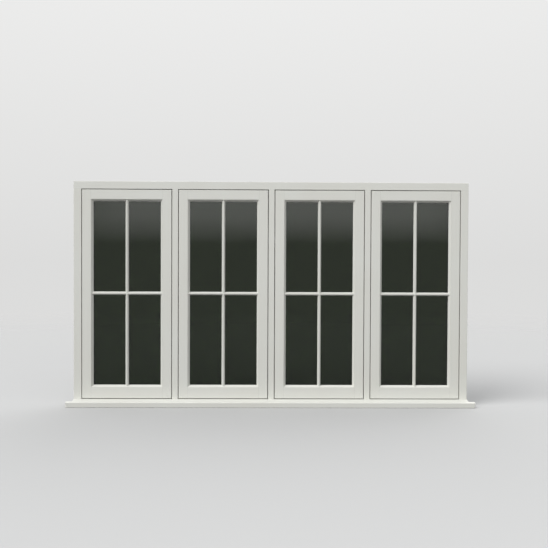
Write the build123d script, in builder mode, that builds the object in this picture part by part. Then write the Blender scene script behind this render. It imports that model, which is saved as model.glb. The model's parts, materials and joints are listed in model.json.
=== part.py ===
from build123d import *
import os
from math import radians, sqrt, tan

# Four-light flush casement window in painted timber, with its frame.
# X runs along the window to the right as seen from outside, +Y points into the room, +Z is up.
# The origin is on the sill's underside, below the middle of the window, in the frame's outer face.
# All sizes are in millimetres.

# Lights and frame
lights = 4
opening_width = 522.0
opening_height = 1212.0
jamb_face = 44.0
head_face = 44.0
mullion_face = 34.0
frame_depth = 96.0
rebate_depth = 61.0
stop_width = 23.0
arris = 2.0
frame_tenon_thickness = 16.0
frame_tenon_length = 25.0
frame_tenon_setback = 20.0
frame_tenon_shoulder = 4.0

# Sill
sill_projection = 60.0
sill_slope = 9.0
nose_height = 29.5
nose_round = 3.0
horn_length = 33.0
horn_depth = 20.0
drip_width = 8.0
drip_depth = 6.0
drip_setback = 12.0
board_groove_width = 10.0
board_groove_depth = 8.0
board_groove_height = 30.0

# Sash
gap = 4.0
sash_depth = 57.0
lip_depth = 20.0
hardware_gap = 13.0
stile_face = 51.0
top_rail_face = 54.0
bottom_rail_face = 64.0
sash_tenon_thickness = 12.0
sash_tenon_length = 24.0
sash_tenon_setback = 24.0
sash_tenon_shoulder = 6.0
inner_chamfer = 5.0

# Glazing
bead_width = 12.0
bead_setback = 1.5
bead_quirk = 2.0
bead_edge = 4.0
glass_setback = 18.0
pane_thickness = 4.0
cavity = 16.0
glass_clearance = 3.0
spacer_width = 8.5
bar_width = 19.0
bar_setback = 4.5
bar_nosing = 7.0
bar_step = 2.0
bar_quirk = 0.8
bar_edge = 3.0
mitre_gap = 0.2
inner_bar_depth = 9.0
inner_bar_nosing = 10.0
inner_bar_edge = 3.0
bar_spacer_width = 14.0

# Weather seals
seal_line = 18.0
seal_leg_width = 3.0
seal_leg_length = 5.0
seal_bulb_width = 6.0
seal_clearance = 0.3

# Concealed stays, one at the foot and one at the head of each sash
stay_arm_length = 130.0
stay_setback = 33.0
pivot_inset = 14.0
arm_width = 16.0
arm_height = 5.4
arm_thickness = 2.6
vent_arm_thickness = 3.0
vent_arm_tail = 85.0
track_width = 20.0
track_sink = 2.5
track_height = 4.0
track_metal = 1.5
track_lip = 3.0
track_lip_thickness = 1.0
track_end = 15.0
shoe_length = 22.0
shoe_side_clearance = 0.3
shoe_thickness = 1.0
shoe_rise = 0.2
pin_radius = 3.0
pin_clearance = 0.05
pin_head_radius = 5.5
pin_head_thickness = 1.1
boss_radius = 5.0
washer_radius = 7.0
shoe_pin_tip = 0.4

# Lock: faceplate and gearbox, rod with roller cams, and keeps
lock_setback = 40.0
faceplate_width = 16.0
faceplate_thickness = 3.0
faceplate_length = 860.0
rod_width = 10.0
rod_thickness = 3.0
rod_end_margin = 60.0
rod_clearance = 0.3
gearbox_reach = 36.0
gearbox_thickness = 14.0
gearbox_height = 64.0
backset = 28.0
cam_spacing = 600.0
cam_travel = 20.0
cam_radius = 5.0
cam_neck_radius = 3.0
cam_reach = 9.5
cam_gap = 1.0
cam_edge = 1.0
slot_clearance = 0.4
keep_plate = 1.5
keep_height = 10.5
keep_width = 20.0
keep_lip_thickness = 4.0
keep_lip_length = 24.0
keep_mouth = 8.0
keep_clearance = 0.3
keep_tail = 16.0
keep_corner = 3.0

# Handle
spindle_side = 7.0
spindle_clearance = 0.25
rose_width = 26.0
rose_height = 64.0
rose_thickness = 9.0
rose_edge = 2.0
neck_radius = 8.0
neck_clearance = 0.05
lever_length = 108.0
lever_root_width = 19.0
lever_tip_width = 14.0
lever_thickness = 11.0
lever_stand_off = 28.0
lever_edge = 3.0

# Fixing holes through the jambs
fixing_hole_radius = 4.0
fixing_setback = 48.0
fixing_end = 150.0

# How closely a plane picks the edges that lie in it
near = 0.01

# Lines worked out from the sizes above
frame_width = lights * opening_width + (lights - 1) * mullion_face + 2 * jamb_face
light_pitch = opening_width + mullion_face
slope = tan(radians(sill_slope))
sill_top = nose_height + sill_projection * slope
head_under = sill_top + opening_height
frame_top = head_under + head_face
middle_z = sill_top + opening_height / 2

sash_width = opening_width - 2 * gap
sash_height = opening_height - 2 * gap
sash_step = hardware_gap - gap
pocket_width = sash_width - 2 * stile_face
pocket_height = sash_height - top_rail_face - bottom_rail_face
sight_width = pocket_width - 2 * bead_width
sight_height = pocket_height - 2 * bead_width
sight_z = middle_z + (bottom_rail_face - top_rail_face) / 2
glass_back = glass_setback + 2 * pane_thickness + cavity

seal_rise = rebate_depth - sash_depth - seal_clearance
arm_top = arm_height + arm_thickness
vent_arm_under = hardware_gap - vent_arm_thickness
rod_back = faceplate_thickness + rod_thickness + rod_clearance
spindle_hole_radius = spindle_side / sqrt(2) + spindle_clearance


def light_x(number):
    """The middle of a light, counted from the left."""
    return (number - (lights - 1) / 2) * light_pitch


def hang_side(number):
    """The side that a sash is hung on: -1 is left and 1 is right, so the pairs mirror each other."""
    return -1 if number < lights / 2 else 1


def front(x, y, z):
    """A plane seen from outside: its first direction is +X, its second +Z, and it faces -Y."""
    return Plane(origin=(x, y, z), x_dir=(1, 0, 0), z_dir=(0, -1, 0))


def save(piece, label):
    """Label a finished piece and write it."""
    piece.part.label = label
    export_step(piece.part, f"parts/{label}.step")


def block(low, high, mode=Mode.ADD):
    """A box between two corners, given in any order, for the piece that is being built."""
    with Locations(tuple((a + b) / 2 for a, b in zip(low, high))):
        Box(*(abs(b - a) for a, b in zip(low, high)), mode=mode)


def slab(x, y, z, width, height, depth, mode=Mode.ADD):
    """A flat rectangle seen from outside, with its middle at x and z, that runs inwards from y."""
    block((x - width / 2, y, z - height / 2), (x + width / 2, y + depth, z + height / 2), mode)


def post(left, right, left_stop, right_stop):
    """An upright member of the frame between two X values, with its stops and a tenon at each end."""
    block((left, 0, 0), (right, rebate_depth, frame_top))
    block((left - left_stop, rebate_depth, 0), (right + right_stop, frame_depth, frame_top))
    add(frame_blank.part, mode=Mode.INTERSECT)
    add(sill_region.part, mode=Mode.SUBTRACT)
    add(head_region.part, mode=Mode.SUBTRACT)
    block((left + frame_tenon_shoulder, frame_tenon_setback, sill_top - frame_tenon_length),
          (right - frame_tenon_shoulder, frame_tenon_setback + frame_tenon_thickness,
           head_under + frame_tenon_length))


os.makedirs("parts", exist_ok=True)

# The frame is laid out as one blank with its rebates, and then parted along its joints,
# so that the rounded edges of its members meet in clean mitres.
with BuildPart() as frame_blank:
    block((-frame_width / 2, 0, 0), (frame_width / 2, frame_depth, frame_top))
    for number in range(lights):
        slab(light_x(number), 0, middle_z, opening_width, opening_height,
             rebate_depth, Mode.SUBTRACT)
        slab(light_x(number), rebate_depth, middle_z, opening_width - 2 * stop_width,
             opening_height - 2 * stop_width, frame_depth - rebate_depth, Mode.SUBTRACT)
    front_edges = frame_blank.edges().filter_by_position(Axis.Y, -near, near)
    fillet(front_edges.filter_by_position(Axis.Z, sill_top + near, frame_top + near), arris)
    for number in range(lights):
        with BuildSketch(front(light_x(number), rebate_depth, middle_z)):
            for side, mode in ((-1, Mode.ADD), (1, Mode.SUBTRACT)):
                inset = 2 * seal_line + side * seal_leg_width
                Rectangle(opening_width - inset, opening_height - inset, mode=mode)
        extrude(amount=-seal_leg_length, mode=Mode.SUBTRACT)

with BuildPart() as sill_region:
    block((-frame_width / 2, 0, 0), (frame_width / 2, frame_depth, sill_top))
    block((-frame_width / 2, rebate_depth, 0), (frame_width / 2, frame_depth, sill_top + stop_width))

with BuildPart() as head_region:
    block((-frame_width / 2, 0, head_under), (frame_width / 2, frame_depth, frame_top))
    block((-frame_width / 2, rebate_depth, head_under - stop_width),
          (frame_width / 2, frame_depth, frame_top))

# Each track lies in a shallow recess from the hinge side of its light to just past the fixed pivot.
with BuildPart() as track_recesses:
    for number in range(lights):
        side = hang_side(number)
        start = light_x(number) + side * opening_width / 2
        end = start - side * (pivot_inset + 2 * stay_arm_length + track_end)
        block((start, stay_setback - track_width / 2, sill_top - track_sink),
              (end, stay_setback + track_width / 2, sill_top))
    mirror(about=Plane.XY.offset(middle_z))

uprights = [track_recesses]
for side, label in ((-1, "left_jamb"), (1, "right_jamb")):
    with BuildPart() as jamb:
        outer = side * frame_width / 2
        inner = outer - side * jamb_face
        post(min(inner, outer), max(inner, outer),
             stop_width if side > 0 else 0, stop_width if side < 0 else 0)
        reach = opening_height / 2 - fixing_end
        with Locations([((inner + outer) / 2, fixing_setback, middle_z + z) for z in (-reach, 0, reach)]):
            Cylinder(fixing_hole_radius, jamb_face, rotation=(0, 90, 0), mode=Mode.SUBTRACT)
    save(jamb, label)
    uprights.append(jamb)

with BuildPart() as first_mullion:
    left = light_x(0) + opening_width / 2
    post(left, left + mullion_face, stop_width, stop_width)

with BuildPart() as mullions:
    with Locations([(number * light_pitch, 0, 0) for number in range(lights - 1)]):
        add(first_mullion.part)
save(mullions, "mullions")
uprights.append(mullions)

with BuildPart() as head:
    add(frame_blank.part)
    add(head_region.part, mode=Mode.INTERSECT)
    for upright in uprights:
        add(upright.part, mode=Mode.SUBTRACT)
save(head, "head")

# The sill's nose slopes down to a vertical face, and its horns run past the frame in front of the wall.
with BuildPart() as sill:
    add(frame_blank.part)
    add(sill_region.part, mode=Mode.INTERSECT)
    with BuildSketch(Plane.YZ):
        Polygon((-sill_projection, 0), (arris, 0), (arris, sill_top), (0, sill_top),
                (-sill_projection, nose_height), align=None)
    extrude(amount=frame_width / 2, both=True)
    horn_back = horn_depth - sill_projection
    with BuildSketch(Plane.YZ):
        Polygon((-sill_projection, 0), (horn_back, 0), (horn_back, nose_height + horn_depth * slope),
                (-sill_projection, nose_height), align=None)
    extrude(amount=frame_width / 2 + horn_length, both=True)
    nose_edges = sill.edges().filter_by_position(Axis.Y, -sill_projection - near, near - sill_projection)
    fillet(nose_edges, nose_round)
    with BuildSketch(Plane.YZ):
        with Locations((-sill_projection + drip_setback + drip_width / 2, 0)):
            SlotOverall(2 * drip_depth, drip_width, rotation=90)
    extrude(amount=frame_width / 2 + horn_length, both=True, mode=Mode.SUBTRACT)
    block((-frame_width / 2, frame_depth - board_groove_depth, board_groove_height),
          (frame_width / 2, frame_depth, board_groove_height + board_groove_width), Mode.SUBTRACT)
    for upright in uprights:
        add(upright.part, mode=Mode.SUBTRACT)
save(sill, "sill")

# Each light has a seal in the groove of its stops, and the sash closes against its round bulb.
with BuildPart() as weather_seals:
    for number in range(lights):
        x = light_x(number)
        with BuildLine(front(x, rebate_depth, middle_z)) as seal_path:
            half_width = opening_width / 2 - seal_line
            half_height = opening_height / 2 - seal_line
            Polyline((half_width, 0), (half_width, half_height), (-half_width, half_height),
                     (-half_width, -half_height), (half_width, -half_height), close=True)
        with BuildSketch(Plane(origin=(x + half_width, rebate_depth, middle_z), x_dir=(1, 0, 0),
                               z_dir=(0, 0, -1))):
            with BuildLine():
                ThreePointArc((-seal_bulb_width / 2, 0), (0, seal_rise), (seal_bulb_width / 2, 0))
                Polyline((seal_bulb_width / 2, 0), (seal_leg_width / 2, 0),
                         (seal_leg_width / 2, -seal_leg_length), (-seal_leg_width / 2, -seal_leg_length),
                         (-seal_leg_width / 2, 0), (-seal_bulb_width / 2, 0))
            make_face()
        sweep(path=seal_path.line, transition=Transition.RIGHT)
save(weather_seals, "weather_seals")

# The concealed stays. A shoe slides in the track, the vent arm on the sash turns on the shoe,
# and an arm of the same length ties the middle of the vent arm to a fixed pivot in the track.
# Each piece is drawn at the foot of its light and mirrored to the head.


def pivots(number):
    """The X of the shoe's pin, of the middle pivot and of the fixed pivot."""
    side = hang_side(number)
    shoe = light_x(number) + side * (opening_width / 2 - pivot_inset)
    return shoe, shoe - side * stay_arm_length, shoe - side * 2 * stay_arm_length


def disc(x, low, high, radius, mode=Mode.ADD):
    """An upright round between two heights above the rebate, on the line of the track."""
    with Locations((x, stay_setback, sill_top + (low + high) / 2)):
        Cylinder(radius, high - low, mode=mode)


def arm(start, end, low, high):
    """A flat arm with round ends between two pivots, between two heights above the rebate."""
    with BuildSketch(Plane((0, 0, sill_top + low))) as outline:
        with Locations(((start + end) / 2, stay_setback)):
            SlotCenterToCenter(abs(end - start), arm_width)
    extrude(outline.sketch, amount=high - low)


track_floor = track_metal - track_sink
with BuildPart() as stay_tracks:
    for number in range(lights):
        side = hang_side(number)
        start = light_x(number) + side * opening_width / 2
        fixed_x = pivots(number)[-1]
        end = fixed_x - side * track_end
        half, wall = track_width / 2, track_width / 2 - track_metal
        foot = sill_top - track_sink
        top = foot + track_height
        with BuildSketch(Plane.YZ.offset(min(start, end))):
            with Locations((stay_setback, 0)):
                Polygon((-half, foot), (half, foot), (half, top), (wall - track_lip, top),
                        (wall - track_lip, top - track_lip_thickness), (wall, top - track_lip_thickness),
                        (wall, foot + track_metal), (-wall, foot + track_metal),
                        (-wall, top - track_lip_thickness),
                        (track_lip - wall, top - track_lip_thickness), (track_lip - wall, top),
                        (-half, top), align=None)
        extrude(amount=abs(end - start))
        disc(fixed_x, track_floor, arm_height, boss_radius)
        disc(fixed_x, arm_height, arm_top, pin_radius)
        disc(fixed_x, arm_top, arm_top + pin_head_thickness, pin_head_radius)
    mirror(about=Plane.XY.offset(middle_z))
save(stay_tracks, "stay_tracks")

# The keeps are screwed to the rebate on the lock side. Each has an open mouth, where its cam
# goes in and out as the sash swings, and a lip beside it that the cam slides behind to lock.
with BuildPart() as lock_keeps:
    for number in range(lights):
        side = -hang_side(number)
        face = light_x(number) + side * opening_width / 2
        for z in (middle_z - cam_spacing / 2, middle_z + cam_spacing / 2):
            lip_back = lock_setback - cam_radius - keep_clearance
            lip_foot = z + keep_mouth
            lip_top = lip_foot + keep_lip_length
            block((face, lip_back - keep_lip_thickness, z - keep_tail),
                  (face - side * keep_plate, lip_back - keep_lip_thickness + keep_width, lip_top + keep_tail))
            block((face, lip_back - keep_lip_thickness, lip_foot),
                  (face - side * keep_height, lip_back, lip_top))
    lip_edges = lock_keeps.edges().filter_by(Axis.Y).filter_by(
        lambda edge: edge.length < keep_lip_thickness + near)
    fillet(lip_edges, keep_corner)
save(lock_keeps, "lock_keeps")


def sash_pieces(number):
    """The stiles and rails of one sash, parted from one blank like the frame."""
    x, side = light_x(number), hang_side(number)
    lock_edge = x - side * (sash_width / 2 - sash_step)
    with BuildPart() as blank:
        slab(x, 0, middle_z, sash_width, sash_height, lip_depth)
        fillet(blank.edges().filter_by_position(Axis.Y, -near, near), arris)
        slab(x, lip_depth, middle_z, sash_width - 2 * sash_step, sash_height - 2 * sash_step,
             sash_depth - lip_depth)
        slab(x, 0, sight_z, pocket_width, pocket_height, glass_back, Mode.SUBTRACT)
        slab(x, glass_back, sight_z, sight_width, sight_height, sash_depth - glass_back, Mode.SUBTRACT)
        inner_face = blank.faces().sort_by(Axis.Y)[-1]
        chamfer(inner_face.inner_wires()[0].edges(), inner_chamfer)

    with BuildPart() as stile_region:
        for end in (-1, 1):
            edge = x + end * sash_width / 2
            block((edge, 0, middle_z - sash_height), (edge - end * stile_face, sash_depth,
                                                      middle_z + sash_height))
            block((edge, glass_back, middle_z - sash_height),
                  (edge - end * (stile_face + bead_width), sash_depth, middle_z + sash_height))

    with BuildPart() as rails:
        add(blank.part)
        add(stile_region.part, mode=Mode.SUBTRACT)
        for end, face in ((-1, bottom_rail_face), (1, top_rail_face)):
            outer = middle_z + end * (sash_height / 2 - sash_step - sash_tenon_shoulder)
            inner = middle_z + end * (sash_height / 2 - face)
            block((x - pocket_width / 2 - sash_tenon_length, sash_tenon_setback, inner),
                  (x + pocket_width / 2 + sash_tenon_length, sash_tenon_setback + sash_tenon_thickness,
                   outer))

    with BuildPart() as stiles:
        add(blank.part)
        add(stile_region.part, mode=Mode.INTERSECT)
        add(rails.part, mode=Mode.SUBTRACT)
        block((lock_edge, lock_setback - faceplate_width / 2, middle_z - faceplate_length / 2),
              (lock_edge + side * rod_back, lock_setback + faceplate_width / 2,
               middle_z + faceplate_length / 2), Mode.SUBTRACT)
        block((lock_edge, lock_setback - gearbox_thickness / 2, middle_z - gearbox_height / 2),
              (lock_edge + side * gearbox_reach, lock_setback + gearbox_thickness / 2,
               middle_z + gearbox_height / 2), Mode.SUBTRACT)
        with Locations((lock_edge + side * backset, (lock_setback + sash_depth) / 2, middle_z)):
            Cylinder(spindle_hole_radius, sash_depth - lock_setback, rotation=(90, 0, 0),
                     mode=Mode.SUBTRACT)
    return stiles, rails


def glazing_pieces(number):
    """The beads, bars, panes and spacers of one sash."""
    x = light_x(number)
    with BuildPart() as beads:
        slab(x, bead_setback, sight_z, pocket_width, pocket_height, glass_setback - bead_setback)
        with BuildSketch(front(x, bead_setback, sight_z)):
            Rectangle(pocket_width - 2 * bead_quirk, pocket_height - 2 * bead_quirk)
        with BuildSketch(front(x, glass_setback - bead_edge, sight_z)):
            Rectangle(sight_width, sight_height)
        loft(mode=Mode.SUBTRACT)
        slab(x, glass_setback - bead_edge, sight_z, sight_width, sight_height, bead_edge, Mode.SUBTRACT)
        for right in (-1, 1):
            for up in (-1, 1):
                with Locations((x + right * pocket_width / 2, glass_setback / 2,
                                sight_z + up * pocket_height / 2)):
                    Box(4 * bead_width, glass_setback, mitre_gap, rotation=(0, -45 * right * up, 0),
                        mode=Mode.SUBTRACT)

    with BuildPart() as bars:
        for plane, length in bar_lines(x, pocket_width, pocket_height):
            with BuildSketch(plane):
                with BuildLine():
                    for way in (-1, 1):
                        Polyline((0, glass_setback), (way * bar_width / 2, glass_setback),
                                 (way * bar_width / 2, glass_setback - bar_edge),
                                 (way * (bar_nosing / 2 + bar_quirk), bar_setback + bar_step),
                                 (way * bar_nosing / 2, bar_setback + bar_step),
                                 (way * bar_nosing / 2, bar_setback), (0, bar_setback))
                make_face()
            extrude(amount=length / 2, both=True)
        add(beads.part, mode=Mode.SUBTRACT)
        for plane, length in bar_lines(x, sight_width, sight_height):
            with BuildSketch(plane):
                Polygon((-bar_width / 2, glass_back), (bar_width / 2, glass_back),
                        (bar_width / 2, glass_back + inner_bar_edge),
                        (inner_bar_nosing / 2, glass_back + inner_bar_depth),
                        (-inner_bar_nosing / 2, glass_back + inner_bar_depth),
                        (-bar_width / 2, glass_back + inner_bar_edge), align=None)
            extrude(amount=length / 2, both=True)

    glass_width = pocket_width - 2 * glass_clearance
    glass_height = pocket_height - 2 * glass_clearance
    with BuildPart() as panes:
        slab(x, glass_setback, sight_z, glass_width, glass_height, pane_thickness)
        slab(x, glass_back - pane_thickness, sight_z, glass_width, glass_height, pane_thickness)

    with BuildPart() as spacers:
        cavity_front = glass_setback + pane_thickness
        slab(x, cavity_front, sight_z, glass_width, glass_height, cavity)
        quarter_width = (glass_width - 2 * spacer_width - bar_spacer_width) / 2
        quarter_height = (glass_height - 2 * spacer_width - bar_spacer_width) / 2
        for right in (-1, 1):
            for up in (-1, 1):
                slab(x + right * (bar_spacer_width + quarter_width) / 2, cavity_front,
                     sight_z + up * (bar_spacer_width + quarter_height) / 2,
                     quarter_width, quarter_height, cavity, Mode.SUBTRACT)
    return beads, bars, panes, spacers


def bar_lines(x, width, height):
    """For the upright and the level bar: a plane across it, whose second direction is +Y, and its length."""
    upright = Plane(origin=(x, 0, sight_z), x_dir=(1, 0, 0), z_dir=(0, 0, 1))
    level = Plane(origin=(x, 0, sight_z), x_dir=(0, 0, -1), z_dir=(1, 0, 0))
    return (upright, height), (level, width)


def stay_pieces(number):
    """The arms and shoes of one sash's two stays."""
    side = hang_side(number)
    shoe_x, middle_x, fixed_x = pivots(number)
    hole = pin_radius + pin_clearance
    with BuildPart() as vent_arms:
        arm(shoe_x, middle_x - side * vent_arm_tail, vent_arm_under, hardware_gap)
        disc(shoe_x, vent_arm_under, hardware_gap, hole, Mode.SUBTRACT)
        disc(middle_x, arm_height, vent_arm_under, pin_radius)
        disc(middle_x, arm_height - pin_head_thickness, arm_height, pin_head_radius)
        mirror(about=Plane.XY.offset(middle_z))

    with BuildPart() as stay_arms:
        arm(middle_x, fixed_x, arm_height, arm_top)
        disc(middle_x, arm_top, vent_arm_under, washer_radius)
        disc(middle_x, arm_height, vent_arm_under, hole, Mode.SUBTRACT)
        disc(fixed_x, arm_height, arm_top, hole, Mode.SUBTRACT)
        mirror(about=Plane.XY.offset(middle_z))

    with BuildPart() as stay_shoes:
        foot = track_floor + shoe_rise
        width = track_width - 2 * track_metal - 2 * shoe_side_clearance
        block((shoe_x - shoe_length / 2, stay_setback - width / 2, sill_top + foot),
              (shoe_x + shoe_length / 2, stay_setback + width / 2, sill_top + foot + shoe_thickness))
        disc(shoe_x, foot + shoe_thickness, vent_arm_under, boss_radius)
        disc(shoe_x, vent_arm_under, hardware_gap - shoe_pin_tip, pin_radius)
        mirror(about=Plane.XY.offset(middle_z))
    return vent_arms, stay_arms, stay_shoes


def lock_pieces(number):
    """The faceplate with its gearbox, and the rod with its two cams, in the edge of the lock stile."""
    x, side = light_x(number), hang_side(number)
    edge = x - side * (sash_width / 2 - sash_step)
    back = edge + side * faceplate_thickness
    cams = [(lock_setback, middle_z + z) for z in (-cam_spacing / 2, cam_spacing / 2)]
    across = Plane(origin=(edge, 0, 0), x_dir=(0, 1, 0), z_dir=(1, 0, 0))
    with BuildPart() as lock_case:
        block((edge, lock_setback - faceplate_width / 2, middle_z - faceplate_length / 2),
              (back, lock_setback + faceplate_width / 2, middle_z + faceplate_length / 2))
        with BuildSketch(across):
            with Locations([(y, z + cam_travel / 2) for y, z in cams]):
                SlotCenterToCenter(cam_travel, 2 * (cam_neck_radius + slot_clearance), rotation=90)
        extrude(amount=side * faceplate_thickness, mode=Mode.SUBTRACT)
        block((back, lock_setback - gearbox_thickness / 2, middle_z - gearbox_height / 2),
              (edge + side * gearbox_reach, lock_setback + gearbox_thickness / 2,
               middle_z + gearbox_height / 2))
        channel = rod_width / 2 + rod_clearance
        block((back, lock_setback - channel, middle_z - gearbox_height / 2),
              (edge + side * rod_back, lock_setback + channel, middle_z + gearbox_height / 2),
              Mode.SUBTRACT)
        with Locations((edge + side * backset, lock_setback, middle_z)):
            Cylinder(spindle_hole_radius, gearbox_thickness, rotation=(90, 0, 0), mode=Mode.SUBTRACT)

    with BuildPart() as lock_rods:
        half_rod = faceplate_length / 2 - rod_end_margin
        block((back, lock_setback - rod_width / 2, middle_z - half_rod),
              (back + side * rod_thickness, lock_setback + rod_width / 2, middle_z + half_rod))
        with BuildSketch(across.offset(side * faceplate_thickness)):
            with Locations(cams):
                Circle(cam_neck_radius)
        extrude(amount=-side * (faceplate_thickness + cam_reach))
        with BuildSketch(across.offset(-side * cam_gap)):
            with Locations(cams):
                Circle(cam_radius)
        extrude(amount=-side * (cam_reach - cam_gap))
        tips = lock_rods.faces().sort_by(Axis.X)[:2] if side > 0 else lock_rods.faces().sort_by(Axis.X)[-2:]
        chamfer(tips.edges(), cam_edge)
    return lock_case, lock_rods


def handle_pieces(number):
    """The lever with its neck and spindle, and the rose that it turns in."""
    x, side = light_x(number), hang_side(number)
    spindle_x = x - side * (sash_width / 2 - sash_step - backset)
    rose_back = sash_depth + rose_thickness
    lever_front = rose_back + lever_stand_off
    with BuildPart() as rose:
        with BuildSketch(front(spindle_x, sash_depth, middle_z)):
            SlotOverall(rose_height, rose_width, rotation=90)
        extrude(amount=-rose_thickness)
        chamfer(rose.faces().sort_by(Axis.Y)[-1].edges(), rose_edge)
        with Locations((spindle_x, sash_depth + rose_thickness / 2, middle_z)):
            Cylinder(neck_radius + neck_clearance, rose_thickness, rotation=(90, 0, 0),
                     mode=Mode.SUBTRACT)

    with BuildPart() as lever:
        with BuildSketch(front(spindle_x, lever_front, middle_z)):
            Circle(lever_root_width / 2)
            with Locations((side * lever_length, 0)):
                Circle(lever_tip_width / 2)
            make_hull()
        extrude(amount=-lever_thickness)
        fillet(lever.edges(), lever_edge)
        with BuildSketch(front(spindle_x, sash_depth, middle_z)):
            Circle(neck_radius)
        extrude(amount=-(rose_thickness + lever_stand_off + lever_edge))
        tip = lock_setback - gearbox_thickness / 2 + spindle_clearance
        with BuildSketch(front(spindle_x, tip, middle_z)):
            Rectangle(spindle_side, spindle_side)
        extrude(amount=-(sash_depth - tip))
    return rose, lever


for number in range(lights):
    stiles, rails = sash_pieces(number)
    beads, bars, panes, spacers = glazing_pieces(number)
    vent_arms, stay_arms, stay_shoes = stay_pieces(number)
    lock_case, lock_rods = lock_pieces(number)
    rose, lever = handle_pieces(number)
    for piece, kind in (
        (stiles, "stiles"), (rails, "rails"), (beads, "glazing_beads"), (bars, "glazing_bars"),
        (panes, "glass"), (spacers, "glazing_spacers"), (vent_arms, "vent_arms"),
        (stay_arms, "stay_arms"), (stay_shoes, "stay_shoes"), (lock_case, "lock_case"),
        (lock_rods, "lock_rods"), (rose, "handle_rose"), (lever, "handle"),
    ):
        save(piece, f"{kind}_{number + 1}")
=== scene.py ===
import json
from math import pi

import bpy
from mathutils import Matrix, Vector

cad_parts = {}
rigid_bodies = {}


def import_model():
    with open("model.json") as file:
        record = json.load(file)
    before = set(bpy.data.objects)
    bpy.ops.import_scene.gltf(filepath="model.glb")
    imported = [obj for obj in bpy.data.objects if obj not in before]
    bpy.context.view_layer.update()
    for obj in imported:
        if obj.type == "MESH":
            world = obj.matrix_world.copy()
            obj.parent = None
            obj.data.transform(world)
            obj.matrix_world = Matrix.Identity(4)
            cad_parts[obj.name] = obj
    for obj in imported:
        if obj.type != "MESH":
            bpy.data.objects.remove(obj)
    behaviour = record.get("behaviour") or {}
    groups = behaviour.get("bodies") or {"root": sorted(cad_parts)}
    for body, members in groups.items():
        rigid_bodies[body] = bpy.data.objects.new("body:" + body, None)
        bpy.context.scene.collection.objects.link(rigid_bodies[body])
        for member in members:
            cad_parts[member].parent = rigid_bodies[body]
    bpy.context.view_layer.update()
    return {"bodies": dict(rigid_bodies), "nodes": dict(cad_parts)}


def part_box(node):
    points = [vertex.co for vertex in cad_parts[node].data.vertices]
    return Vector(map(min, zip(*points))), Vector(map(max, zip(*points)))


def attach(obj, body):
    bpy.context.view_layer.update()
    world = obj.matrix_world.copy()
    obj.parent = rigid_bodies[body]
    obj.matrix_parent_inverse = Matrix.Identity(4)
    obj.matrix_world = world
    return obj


# Four-light flush casement window. Metres and radians, with +X to the right as seen from outside,
# +Y into the room and +Z up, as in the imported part
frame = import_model()
scene = bpy.context.scene
lights = sorted(name.split("_")[1] for name in frame["bodies"] if name.startswith("sash_"))

# Camera, fitted to the corners of the frame and sashes in the photograph. The film is in millimetres
image_width = 548
focal_pixels = 700
film_width = 36.0
camera_place = (-0.0371, -4.0436, 0.8381)
camera_yaw, camera_pitch, camera_roll = -0.012817, -0.018130, -0.0041104

# Studio: the floor's colour and the backdrop are what is seen, and the floor's glow, the ground's
# glow and the dome are what lights the window
floor_colour = (0.46, 0.46, 0.455, 1)
floor_glow = (0.11, 0.11, 0.108, 1)
floor_roughness = 0.9
floor_reach = 8.0
floor_fade = 2.2
backdrop_low = (0.72, 0.72, 0.715, 1)
backdrop_high = (1.0, 1.0, 0.995, 1)
backdrop_top = 0.8
ground_glow = (0.16, 0.16, 0.157, 1)
dome_low = (0.79, 0.80, 0.82, 1)
dome_high = (0.87, 0.88, 0.90, 1)
dome_top = 0.9
horizon_blur = 0.02

# Lamps: the two far ones are given by the way towards them, which is as long as the lamp is strong
key_light = (-1.40, -1.00, 1.62)
key_softness = 0.7
room_light = (0.50, 0.92, 0.40)
room_softness = 1.3
front_place = (0.2, -6.6, 2.2)
front_aim = (0, 0, 0.9)
front_size = (7.6, 2.2)
front_power = 100
front_edge = 0.16

# Painted timber. A pitch is how often a pattern comes in a metre: across, through and along the timber
paint = (0.635, 0.640, 0.600, 1)
paint_warm = (0.605, 0.598, 0.545, 1)
paint_roughness = (0.34, 0.46)
paint_specular = 0.42
patch_pitch = 1.9
patch_warmth = 0.55
grain_pitch = (140, 140, 3.2)
grain_warmth = 0.30
grain_depth = 0.0003
grain_strength = 0.35
brush_pitch = (900, 900, 10)
brush_warmth = 0.15
brush_depth = 0.00012
brush_strength = 0.55
film_pitch = 320.0
film_share = 0.35

# Joints, which show through the paint as hairlines, and the frame's rebate, round which they step
frame_middle = 0.645
half_opening = 0.606
rebate_depth = 0.061
stop_width = 0.023
joint_width = 0.00035
joint_depth = 0.0002
joint_dark = (0, 0, 0, 1)
joint_shade = 0.55

# Glazing
bar_half_width = 0.0095
# The glass's two dark tints are painted shade that stands for the unlit room behind the panes. The haze
# picks between them at random
glass_shade_dark = (0.083, 0.112, 0.060, 1)
glass_shade_pale = (0.097, 0.127, 0.074, 1)
glass_ior = 1.40
haze_pitch = 9.0
haze_roughness = (0.0, 0.025)
wave_pitch = (2.2, 1, 5.5)
wave_depth = 0.002
wave_strength = 0.12

# Foam and rubber
foam_dark = (0.018, 0.018, 0.019, 1)
foam_pale = (0.035, 0.035, 0.036, 1)
foam_roughness = (0.6, 0.85)
weave_pitch = 900.0
weave_depth = 0.0002
rubber_black = (0.020, 0.020, 0.021, 1)
rubber_dusty = (0.060, 0.058, 0.054, 1)
rubber_roughness = (0.45, 0.75)
dust_pitch = 45.0
pore_pitch = 1500.0
pore_depth = 0.0001

# Metals
stain_pitch = 60.0
stain_dulling = (-0.04, 0.06)
brushed_depth = 0.00004
cast_depth = 0.0001
satin_depth = 0.00002

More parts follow.
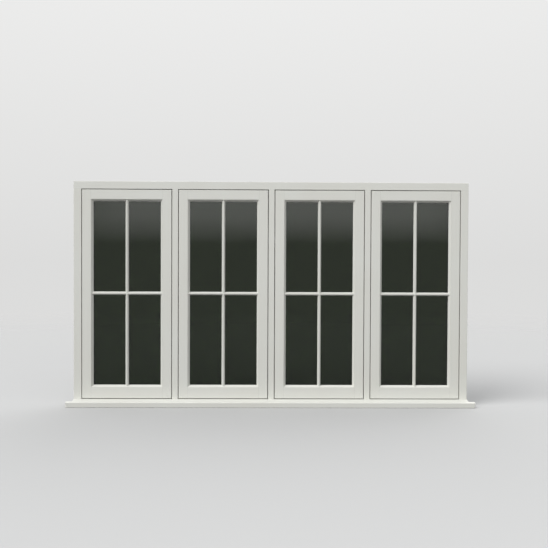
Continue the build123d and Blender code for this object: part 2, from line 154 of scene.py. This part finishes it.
# Screws, with the sizes of the hardware that they hold. A row of screws is given by its distances
# from the shoe, from the middle of the light's height or, on a keep, from the cam
head_sides = 20
head_radius = 0.0034
head_sunk = 0.0006
head_crown = 0.0007
flush_crown = 0.0001
head_taper = 0.88
head_draw_in = 0.7
recess_length = 0.0043
recess_width = 0.0011
recess_depth = 0.0006
turn_seed = 4
shoe_rise = 0.0002
track_floor = 0.001
vent_arm_under = 0.010
hardware_gap = 0.013
keep_plate = 0.0015
keep_middle = 0.0407
cam_height = 0.300
track_screws = (0.030, 0.085, 0.150, 0.215)
arm_screws = (0.028, 0.075, 0.160, 0.200)
faceplate_screws = (-0.418, -0.200, -0.058, 0.058, 0.200, 0.418)
keep_screws = (-0.011, 0.040)
rose_screws = (-0.022, 0.022)


# Nodes


def new_finish(name):
    """A new material, with its node tree and its shader."""
    material = bpy.data.materials.new(name)
    material.use_nodes = True
    return material, material.node_tree, material.node_tree.nodes["Principled BSDF"]


def feed(tree, socket, value):
    """Link a socket to a socket, or set it to a plain value."""
    if isinstance(value, bpy.types.NodeSocket):
        tree.links.new(value, socket)
    else:
        socket.default_value = value


def place(tree):
    """The window's own coordinates, in metres."""
    return tree.nodes.new("ShaderNodeTexCoord").outputs["Object"]


def stretch(tree, vector, scale, shift=(0, 0, 0)):
    """Coordinates scaled differently along each axis."""
    node = tree.nodes.new("ShaderNodeMapping")
    feed(tree, node.inputs["Vector"], vector)
    node.inputs["Scale"].default_value = scale
    node.inputs["Location"].default_value = shift
    return node.outputs["Vector"]


def noise(tree, vector, scale=1.0, detail=3, roughness=0.5):
    """A soft random pattern, about 0.3 to 0.7."""
    node = tree.nodes.new("ShaderNodeTexNoise")
    feed(tree, node.inputs["Vector"], vector)
    node.inputs["Scale"].default_value = scale
    node.inputs["Detail"].default_value = detail
    node.inputs["Roughness"].default_value = roughness
    return node.outputs["Fac"]


def work_out(tree, operation, first, second=0.0):
    """One step of arithmetic."""
    node = tree.nodes.new("ShaderNodeMath")
    node.operation = operation
    feed(tree, node.inputs[0], first)
    feed(tree, node.inputs[1], second)
    return node.outputs[0]


def spread(tree, value, low=0.0, high=1.0, start=0.3, end=0.7):
    """A value taken from the range of the noise, or from another one, to the range from low to high."""
    node = tree.nodes.new("ShaderNodeMapRange")
    feed(tree, node.inputs["Value"], value)
    for name, number in (("From Min", start), ("From Max", end), ("To Min", low), ("To Max", high)):
        node.inputs[name].default_value = number
    return node.outputs["Result"]


def between(tree, share, first, second, kind="Color"):
    """A colour or a vector between two, by a share from 0 to 1."""
    node = tree.nodes.new("ShaderNodeMix")
    node.data_type = {"Color": "RGBA", "Vector": "VECTOR"}[kind]
    sockets = {socket.identifier: socket for socket in (*node.inputs, *node.outputs)}
    feed(tree, sockets["Factor_Float"], share)
    feed(tree, sockets[f"A_{kind}"], first)
    feed(tree, sockets[f"B_{kind}"], second)
    return sockets[f"Result_{kind}"]


def parts_of(tree, vector):
    """The X, Y and Z of a vector."""
    node = tree.nodes.new("ShaderNodeSeparateXYZ")
    feed(tree, node.inputs["Vector"], vector)
    return node.outputs


def relief(tree, height, depth, strength=1.0, under=None):
    """Fine relief of a given depth from a pattern, on top of another relief where there is one."""
    node = tree.nodes.new("ShaderNodeBump")
    node.inputs["Strength"].default_value = strength
    node.inputs["Distance"].default_value = depth
    feed(tree, node.inputs["Height"], height)
    if under is not None:
        feed(tree, node.inputs["Normal"], under)
    return node.outputs["Normal"]


# Painted timber


def painted_timber(name, along, joint=None):
    """Satin paint with soft brush strokes. along makes the coordinates, with Z along the timber.

    joint says how far a place is from the piece's nearest shoulder, where the paint has a hairline."""
    material, tree, shader = new_finish(name)
    run = along(tree)
    strokes = noise(tree, stretch(tree, run, brush_pitch), detail=2, roughness=0.55)
    grain = noise(tree, stretch(tree, run, grain_pitch), detail=4, roughness=0.6)
    film = noise(tree, run, film_pitch, detail=2)
    patches = noise(tree, run, patch_pitch, detail=3, roughness=0.6)
    warmth = work_out(tree, "ADD", spread(tree, patches, high=patch_warmth),
                      spread(tree, grain, high=grain_warmth))
    warmth = work_out(tree, "ADD", warmth, spread(tree, strokes, high=brush_warmth))
    colour = between(tree, warmth, paint, paint_warm)
    feed(tree, shader.inputs["Roughness"], spread(tree, grain, *paint_roughness))
    shader.inputs["Specular IOR Level"].default_value = paint_specular
    height = work_out(tree, "ADD", strokes, work_out(tree, "MULTIPLY", film, film_share))
    surface = relief(tree, height, brush_depth, brush_strength)
    surface = relief(tree, grain, grain_depth, grain_strength, under=surface)
    if joint:
        hairline = work_out(tree, "LESS_THAN", joint(tree), joint_width)
        colour = between(tree, work_out(tree, "MULTIPLY", hairline, joint_shade), colour, joint_dark)
        surface = relief(tree, work_out(tree, "SUBTRACT", 1.0, hairline), joint_depth, under=surface)
    feed(tree, shader.inputs["Base Color"], colour)
    feed(tree, shader.inputs["Normal"], surface)
    return material


def turned(tree, vector):
    """The same coordinates with X and Z changed over, for timber that runs level."""
    x, y, z = parts_of(tree, vector)
    node = tree.nodes.new("ShaderNodeCombineXYZ")
    for socket, value in zip(node.inputs, (z, y, x)):
        feed(tree, socket, value)
    return node.outputs["Vector"]


def level(tree):
    """Timber that runs along the window."""
    return turned(tree, place(tree))


def post_shoulders(tree):
    """How far a place on a jamb or mullion is from its shoulders, which step with the stops."""
    _, y, z = parts_of(tree, place(tree))
    from_middle = work_out(tree, "ABSOLUTE", work_out(tree, "SUBTRACT", z, frame_middle))
    step = work_out(tree, "MULTIPLY", work_out(tree, "GREATER_THAN", y, rebate_depth), stop_width)
    return work_out(tree, "SUBTRACT", work_out(tree, "SUBTRACT", half_opening, step), from_middle)


def rail_shoulders(low, high, half_pitch):
    """How far a place on a rail is from its shoulders, worked out from the pocket of one light."""
    mullion_to_pocket = half_pitch - (high.x - low.x) / 2

    def along_rail(tree):
        x, _, _ = parts_of(tree, place(tree))
        from_mullion = work_out(tree, "PINGPONG", x, half_pitch)
        return work_out(tree, "SUBTRACT", from_mullion, mullion_to_pocket)

    return along_rail


def either_way(tree, centre, uprightness):
    """Timber that runs up or along, as a rule on the distances from a light's centre says."""
    here = place(tree)
    x, _, z = parts_of(tree, stretch(tree, here, (1, 1, 1), (-centre.x, 0, -centre.z)))
    across, up = (work_out(tree, "ABSOLUTE", value) for value in (x, z))
    return between(tree, uprightness(tree, across, up), turned(tree, here), here, "Vector")


def mitred(low, high):
    """Beads that run round a pocket: the nearer side of the pocket says which way one runs."""
    centre, size = (low + high) / 2, high - low

    def beside(tree, across, up):
        from_side = work_out(tree, "SUBTRACT", size.x / 2, across)
        from_top = work_out(tree, "SUBTRACT", size.z / 2, up)
        return work_out(tree, "LESS_THAN", from_side, from_top)

    return lambda tree: either_way(tree, centre, beside)


def crossed(low, high):
    """Bars that cross in the middle of a light: the upright one has the crossing."""

    def on_upright(tree, across, up):
        return work_out(tree, "LESS_THAN", across, bar_half_width)

    return lambda tree: either_way(tree, (low + high) / 2, on_upright)


# Glass, foam, rubber and metal


def dark_glass():
    """Sealed glass with a dark green tint, painted shade that stands for the unlit room behind it, and very
    slightly wavy from toughening.
    """
    material, tree, shader = new_finish("glass")
    wave = noise(tree, stretch(tree, place(tree), wave_pitch), detail=1)
    haze = noise(tree, place(tree), haze_pitch, detail=4, roughness=0.65)
    # The base colour is a dark tint: painted shade for the unlit room behind the glass, varied at random by
    # the haze
    feed(tree, shader.inputs["Base Color"], between(tree, spread(tree, haze), glass_shade_dark, glass_shade_pale))
    feed(tree, shader.inputs["Roughness"], spread(tree, haze, *haze_roughness))
    shader.inputs["Transmission Weight"].default_value = 1.0
    shader.inputs["IOR"].default_value = glass_ior
    feed(tree, shader.inputs["Normal"], relief(tree, wave, wave_depth, wave_strength))
    return material


def edge_spacer():
    """Matt black foam spacer with a faint weave."""
    material, tree, shader = new_finish("edge_spacer")
    weave = noise(tree, place(tree), weave_pitch, detail=2)
    feed(tree, shader.inputs["Base Color"], between(tree, spread(tree, weave), foam_dark, foam_pale))
    feed(tree, shader.inputs["Roughness"], spread(tree, weave, *foam_roughness))
    feed(tree, shader.inputs["Normal"], relief(tree, weave, weave_depth, strength=0.5))
    return material


def seal_rubber():
    """Black extruded rubber, a little dusty."""
    material, tree, shader = new_finish("seal_rubber")
    dust = noise(tree, place(tree), dust_pitch, detail=5, roughness=0.65)
    pores = noise(tree, place(tree), pore_pitch, detail=1)
    feed(tree, shader.inputs["Base Color"], between(tree, spread(tree, dust), rubber_black, rubber_dusty))
    feed(tree, shader.inputs["Roughness"], spread(tree, dust, *rubber_roughness))
    feed(tree, shader.inputs["Normal"], relief(tree, pores, pore_depth, strength=0.4))
    return material


def worked_metal(name, colour, stain, roughness, pitch, depth=brushed_depth):
    """Metal with fine lines from its working. pitch is how closely they lie along X, Y and Z."""
    material, tree, shader = new_finish(name)
    lines = noise(tree, stretch(tree, place(tree), pitch), detail=3, roughness=0.6)
    stains = noise(tree, place(tree), stain_pitch, detail=4, roughness=0.6)
    feed(tree, shader.inputs["Base Color"], between(tree, spread(tree, stains), (*colour, 1), (*stain, 1)))
    dullness = work_out(tree, "ADD", spread(tree, lines, *roughness), spread(tree, stains, *stain_dulling))
    feed(tree, shader.inputs["Roughness"], dullness)
    shader.inputs["Metallic"].default_value = 1.0
    feed(tree, shader.inputs["Normal"], relief(tree, lines, depth, strength=0.5))
    return material


def hardware_metals():
    """The finishes of the stays, locks and handles, by the names of their slots in the record."""
    return {
        "stay_steel": worked_metal("brushed_stainless", colour=(0.60, 0.60, 0.58), stain=(0.52, 0.52, 0.50),
                                   roughness=(0.24, 0.42), pitch=(25, 1800, 1800)),
        "shoe_brass": worked_metal("shoe_brass", colour=(0.62, 0.46, 0.20), stain=(0.50, 0.36, 0.15),
                                   roughness=(0.28, 0.45), pitch=(40, 1500, 1500)),
        "lock_steel": worked_metal("zinc_plate", colour=(0.58, 0.60, 0.62), stain=(0.50, 0.51, 0.50),
                                   roughness=(0.22, 0.40), pitch=(1500, 1500, 30)),
        "keep_zinc": worked_metal("cast_zinc", colour=(0.52, 0.53, 0.54), stain=(0.43, 0.44, 0.44),
                                  roughness=(0.34, 0.52), pitch=(700, 700, 700), depth=cast_depth),
        "handle_chrome": worked_metal("satin_chrome", colour=(0.64, 0.635, 0.62), stain=(0.61, 0.60, 0.585),
                                      roughness=(0.17, 0.27), pitch=(90, 2600, 2600), depth=satin_depth),
    }


def dress_window(metals):
    """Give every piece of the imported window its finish."""
    first_pocket, second_pocket = (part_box(f"glazing_beads_{light}") for light in lights[:2])
    half_pitch = (second_pocket[0].x - first_pocket[0].x) / 2
    level_paint = painted_timber("paint_level", level)
    post_paint = painted_timber("paint_posts", place, post_shoulders)
    finishes = {
        "head": level_paint, "sill": level_paint,
        "left_jamb": post_paint, "right_jamb": post_paint, "mullions": post_paint,
        "stiles": painted_timber("paint_stiles", place),
        "rails": painted_timber("paint_rails", level, rail_shoulders(*first_pocket, half_pitch)),
        "glass": dark_glass(), "glazing_spacers": edge_spacer(), "weather_seals": seal_rubber(),
        "stay_tracks": metals["stay_steel"], "stay_arms": metals["stay_steel"],
        "vent_arms": metals["stay_steel"], "stay_shoes": metals["shoe_brass"],
        "lock_case": metals["lock_steel"], "lock_rods": metals["lock_steel"],
        "lock_keeps": metals["keep_zinc"],
        "handle_rose": metals["handle_chrome"], "handle": metals["handle_chrome"],
    }
    for light in lights:
        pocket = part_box(f"glazing_beads_{light}")
        finishes[f"glazing_beads_{light}"] = painted_timber(f"paint_beads_{light}", mitred(*pocket))
        finishes[f"glazing_bars_{light}"] = painted_timber(f"paint_bars_{light}", crossed(*pocket))
    for name, node in frame["nodes"].items():
        kind = name.rsplit("_", 1)[0] if name[-1] in lights else name
        node.data.materials.clear()
        node.data.materials.append(finishes.get(name) or finishes[kind])


# Screws


def screw_tree():
    """Geometry nodes that set a crowned screw head, with a crossed recess, on each point of a mesh."""
    tree = bpy.data.node_groups.new("screw_heads", "GeometryNodeTree")
    tree.interface.new_socket("Points", in_out="INPUT", socket_type="NodeSocketGeometry")
    for name in ("Radius", "Sunk", "Crown", "Recess Length", "Recess Width", "Recess Depth"):
        tree.interface.new_socket(name, in_out="INPUT", socket_type="NodeSocketFloat")
    tree.interface.new_socket("Finish", in_out="INPUT", socket_type="NodeSocketMaterial")
    tree.interface.new_socket("Heads", in_out="OUTPUT", socket_type="NodeSocketGeometry")
    make, link = tree.nodes.new, tree.links.new
    given, result = make("NodeGroupInput"), make("NodeGroupOutput")

    def times(value, factor):
        return work_out(tree, "MULTIPLY", value, factor)

    def at_height(value):
        node = make("ShaderNodeCombineXYZ")
        link(value, node.inputs["Z"])
        return node.outputs["Vector"]

    # The rim, from below the surface to half of the crown
    rim = make("GeometryNodeMeshCone")
    rim.inputs["Vertices"].default_value = head_sides
    link(given.outputs["Radius"], rim.inputs["Radius Bottom"])
    link(times(given.outputs["Radius"], head_taper), rim.inputs["Radius Top"])
    half_crown = times(given.outputs["Crown"], 0.5)
    link(work_out(tree, "ADD", given.outputs["Sunk"], half_crown), rim.inputs["Depth"])
    seat = make("GeometryNodeTransform")
    link(rim.outputs["Mesh"], seat.inputs["Geometry"])
    link(at_height(times(given.outputs["Sunk"], -1.0)), seat.inputs["Translation"])

    # The top, drawn in to a smaller round
    rise = make("GeometryNodeExtrudeMesh")
    rise.inputs["Individual"].default_value = False
    link(seat.outputs["Geometry"], rise.inputs["Mesh"])
    link(rim.outputs["Top"], rise.inputs["Selection"])
    link(half_crown, rise.inputs["Offset Scale"])
    draw_in = make("GeometryNodeScaleElements")
    draw_in.inputs["Scale"].default_value = head_draw_in
    link(rise.outputs["Mesh"], draw_in.inputs["Geometry"])
    link(rise.outputs["Top"], draw_in.inputs["Selection"])

    # The recess, cut by two crossed bars that lie half in the head
    cut = make("GeometryNodeMeshBoolean")
    cut.operation = "DIFFERENCE"
    link(draw_in.outputs["Geometry"], cut.inputs["Mesh 1"])
    for long_side, short_side in (("X", "Y"), ("Y", "X")):
        size = make("ShaderNodeCombineXYZ")
        link(given.outputs["Recess Length"], size.inputs[long_side])
        link(given.outputs["Recess Width"], size.inputs[short_side])
        link(times(given.outputs["Recess Depth"], 2.0), size.inputs["Z"])
        slot = make("GeometryNodeMeshCube")
        link(size.outputs["Vector"], slot.inputs["Size"])
        lift = make("GeometryNodeTransform")
        link(slot.outputs["Mesh"], lift.inputs["Geometry"])
        link(at_height(given.outputs["Crown"]), lift.inputs["Translation"])
        link(lift.outputs["Geometry"], cut.inputs["Mesh 2"])

    # One head on each point, turned to face out of its surface and at random about its own middle.
    # The random node has its plain numbers in its fourth input and second output
    facing = make("GeometryNodeInputNamedAttribute")
    facing.data_type = "FLOAT_VECTOR"
    facing.inputs["Name"].default_value = "facing"
    aim = make("FunctionNodeAlignRotationToVector")
    aim.axis = "Z"
    link(facing.outputs["Attribute"], aim.inputs["Vector"])
    turn = make("FunctionNodeRandomValue")
    turn.data_type = "FLOAT"
    turn.inputs[3].default_value = pi
    turn.inputs["Seed"].default_value = turn_seed
    spin = make("FunctionNodeAxisAngleToRotation")
    link(turn.outputs[1], spin.inputs["Angle"])
    rotate = make("FunctionNodeRotateRotation")
    rotate.rotation_space = "LOCAL"
    link(aim.outputs["Rotation"], rotate.inputs["Rotation"])
    link(spin.outputs["Rotation"], rotate.inputs["Rotate By"])
    copies = make("GeometryNodeInstanceOnPoints")
    link(given.outputs["Points"], copies.inputs["Points"])
    link(cut.outputs["Mesh"], copies.inputs["Instance"])
    link(rotate.outputs["Rotation"], copies.inputs["Rotation"])
    solid = make("GeometryNodeRealizeInstances")
    link(copies.outputs["Instances"], solid.inputs["Geometry"])
    finish = make("GeometryNodeSetMaterial")
    link(solid.outputs["Geometry"], finish.inputs["Geometry"])
    link(given.outputs["Finish"], finish.inputs["Material"])
    link(finish.outputs["Geometry"], result.inputs["Heads"])
    return tree


def set_screws(name, body, slot, places, metals, tree, crown=head_crown):
    """Screw heads of one body, at places given as a point on the surface and the way out of it."""
    points = bpy.data.meshes.new(name)
    points.from_pydata([point for point, _ in places], [], [])
    facing = points.attributes.new("facing", "FLOAT_VECTOR", "POINT")
    facing.data.foreach_set("vector", [number for _, way in places for number in way])
    piece = bpy.data.objects.new(name, points)
    scene.collection.objects.link(piece)
    modifier = piece.modifiers.new("screws", "NODES")
    modifier.node_group = tree
    values = {"Radius": head_radius, "Sunk": head_sunk, "Crown": crown, "Recess Length": recess_length,
              "Recess Width": recess_width, "Recess Depth": recess_depth, "Finish": metals[slot]}
    for socket in tree.interface.items_tree:
        if socket.name in values:
            modifier[socket.identifier] = values[socket.name]
    heads = bpy.data.meshes.new_from_object(piece.evaluated_get(bpy.context.evaluated_depsgraph_get()))
    piece.modifiers.clear()
    piece.data = heads
    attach(piece, body)


def middle(name):
    """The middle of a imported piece."""
    low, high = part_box(name)
    return (low + high) / 2


def screw_places(light):
    """The screws of one light: those of its tracks, keeps, vent arms, faceplate and rose."""
    shoes, arms, lock, rose = (middle(f"{piece}_{light}")
                               for piece in ("stay_shoes", "stay_arms", "lock_case", "handle_rose"))
    shoes_low, shoes_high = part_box(f"stay_shoes_{light}")
    case_low, case_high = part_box(f"lock_case_{light}")
    rose_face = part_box(f"handle_rose_{light}")[1].y
    # 1 where the light is hung on its right, and -1 where it is hung on its left
    side = 1 if arms.x < shoes.x else -1
    up, inward, to_keep = Vector((0, 0, 1)), Vector((0, 1, 0)), Vector((-side, 0, 0))
    case_face = case_low.x if side > 0 else case_high.x
    keep_face = case_face - side * (hardware_gap - keep_plate)

    tracks, vent_arms = [], []
    for floor, way in ((shoes_low.z - shoe_rise, up), (shoes_high.z + shoe_rise, -up)):
        tracks += [(Vector((shoes.x - side * along, shoes.y, floor)), way) for along in track_screws]
        under = floor + way.z * (track_floor + vent_arm_under)
        vent_arms += [(Vector((shoes.x - side * along, shoes.y, under)), -way) for along in arm_screws]
    keeps = [(Vector((keep_face, keep_middle, shoes.z + cam + along)), -to_keep)
             for cam in (-cam_height, cam_height) for along in keep_screws]
    faceplate = [(Vector((case_face, lock.y, shoes.z + along)), to_keep) for along in faceplate_screws]
    roses = [(Vector((rose.x, rose_face, shoes.z + along)), inward) for along in rose_screws]
    return tracks, keeps, vent_arms, faceplate, roses


def screw_down(metals):
    """All the screws of the window."""
    tree = screw_tree()
    frame_tracks, frame_keeps = [], []
    for light in lights:
        tracks, keeps, vent_arms, faceplate, roses = screw_places(light)
        frame_tracks += tracks
        frame_keeps += keeps
        sash = f"sash_{light}"
        set_screws(f"vent_arm_screws_{light}", sash, "stay_steel", vent_arms, metals, tree)
        set_screws(f"faceplate_screws_{light}", sash, "lock_steel", faceplate, metals, tree)
        set_screws(f"rose_screws_{light}", sash, "handle_chrome", roses, metals, tree)
    set_screws("track_screws", "frame", "stay_steel", frame_tracks, metals, tree, crown=flush_crown)
    set_screws("keep_screws", "frame", "keep_zinc", frame_keeps, metals, tree)


# Studio


def put_lamp(name, lamp, towards, place_at=(0, 0, 0)):
    """Place a lamp that shines from a direction, and isn't seen through the glass."""
    holder = bpy.data.objects.new(name, lamp)
    holder.visible_transmission = False
    holder.location = place_at
    holder.rotation_euler = Vector(towards).to_track_quat("Z", "Y").to_euler()
    scene.collection.objects.link(holder)


def broad_lamp(name, place_at, aim_at, size, power):
    """A soft rectangular lamp that looks at a point, brightest in its middle."""
    lamp = bpy.data.lights.new(name, "AREA")
    lamp.shape = "RECTANGLE"
    lamp.size, lamp.size_y = size
    lamp.energy = power
    lamp.use_nodes = True
    tree = lamp.node_tree
    across, up, _ = parts_of(tree, tree.nodes.new("ShaderNodeNewGeometry").outputs["Parametric"])
    glow = 1.0
    for share in (across, up):
        # The rise is 0 at each edge and 0.25 in the middle
        rise = work_out(tree, "MULTIPLY", share, work_out(tree, "SUBTRACT", 1.0, share))
        glow = work_out(tree, "MULTIPLY", spread(tree, rise, start=0, end=front_edge), glow)
    feed(tree, tree.nodes["Emission"].inputs["Strength"], glow)
    put_lamp(name, lamp, Vector(place_at) - Vector(aim_at), place_at)


def far_lamp(name, towards, softness):
    """Even light from one direction, as from a broad lamp far away. Its strength is towards' length."""
    lamp = bpy.data.lights.new(name, "SUN")
    lamp.energy = Vector(towards).length
    lamp.angle = softness
    put_lamp(name, lamp, towards)


def looked_at(tree):
    """1 where the camera sees a thing, straight or in metal or glass, and 0 where it only lights others."""
    path = tree.nodes.new("ShaderNodeLightPath").outputs
    seen = work_out(tree, "MAXIMUM", path["Is Camera Ray"], path["Is Glossy Ray"])
    return work_out(tree, "MAXIMUM", seen, path["Is Transmission Ray"])


def surroundings():
    """A dome of light, brighter overhead and dark below, and a pale backdrop where it is looked at."""
    world = bpy.data.worlds.new("studio")
    scene.world = world
    world.use_nodes = True
    tree = world.node_tree
    _, _, height = parts_of(tree, tree.nodes.new("ShaderNodeTexCoord").outputs["Generated"])
    dome = between(tree, spread(tree, height, start=0, end=dome_top), dome_low, dome_high)
    above_ground = spread(tree, height, start=-horizon_blur, end=horizon_blur)
    light = between(tree, above_ground, ground_glow, dome)
    backdrop = between(tree, spread(tree, height, start=0, end=backdrop_top), backdrop_low, backdrop_high)
    feed(tree, tree.nodes["Background"].inputs["Color"], between(tree, looked_at(tree), light, backdrop))


def studio_floor():
    """A pale floor that throws little light up, and fades into the surroundings far away."""
    mesh = bpy.data.meshes.new("floor")
    corners = [(x * floor_reach, y * floor_reach, 0) for x, y in ((-1, -1), (1, -1), (1, 1), (-1, 1))]
    mesh.from_pydata(corners, [], [(0, 1, 2, 3)])
    floor = bpy.data.objects.new("floor", mesh)
    scene.collection.objects.link(floor)
    material, tree, shader = new_finish("studio_floor")
    feed(tree, shader.inputs["Base Color"], between(tree, looked_at(tree), floor_glow, floor_colour))
    shader.inputs["Roughness"].default_value = floor_roughness
    shader.inputs["Specular IOR Level"].default_value = 0.0
    away = tree.nodes.new("ShaderNodeVectorMath")
    away.operation = "LENGTH"
    feed(tree, away.inputs[0], place(tree))
    fade = tree.nodes.new("ShaderNodeMixShader")
    feed(tree, fade.inputs["Fac"], spread(tree, away.outputs["Value"], start=floor_fade, end=floor_reach))
    feed(tree, fade.inputs[1], shader.outputs["BSDF"])
    feed(tree, fade.inputs[2], tree.nodes.new("ShaderNodeBsdfTransparent").outputs["BSDF"])
    feed(tree, tree.nodes["Material Output"].inputs["Surface"], fade.outputs["Shader"])
    floor.data.materials.append(material)


def studio():
    """Soft light from the upper left, a weaker one from the room side and a glow behind the camera."""
    surroundings()
    studio_floor()
    far_lamp("upper_left", key_light, key_softness)
    far_lamp("room_side", room_light, room_softness)
    broad_lamp("behind_camera", front_place, front_aim, front_size, front_power)


def camera():
    """The photograph's camera. It looks level into the room, and is then rolled, pitched and yawed."""
    turn = Matrix.Rotation(pi / 2, 3, "X")
    for angle, axis in ((camera_roll, "Y"), (camera_pitch, "X"), (camera_yaw, "Z")):
        turn = Matrix.Rotation(angle, 3, axis) @ turn
    data = bpy.data.cameras.new("camera")
    data.sensor_width = film_width
    data.lens = focal_pixels * film_width / image_width
    view = bpy.data.objects.new("camera", data)
    view.matrix_world = Matrix.Translation(camera_place) @ turn.to_4x4()
    scene.collection.objects.link(view)
    scene.camera = view


metals = hardware_metals()
dress_window(metals)
screw_down(metals)
studio()
camera()
scene.view_settings.view_transform = "Standard"
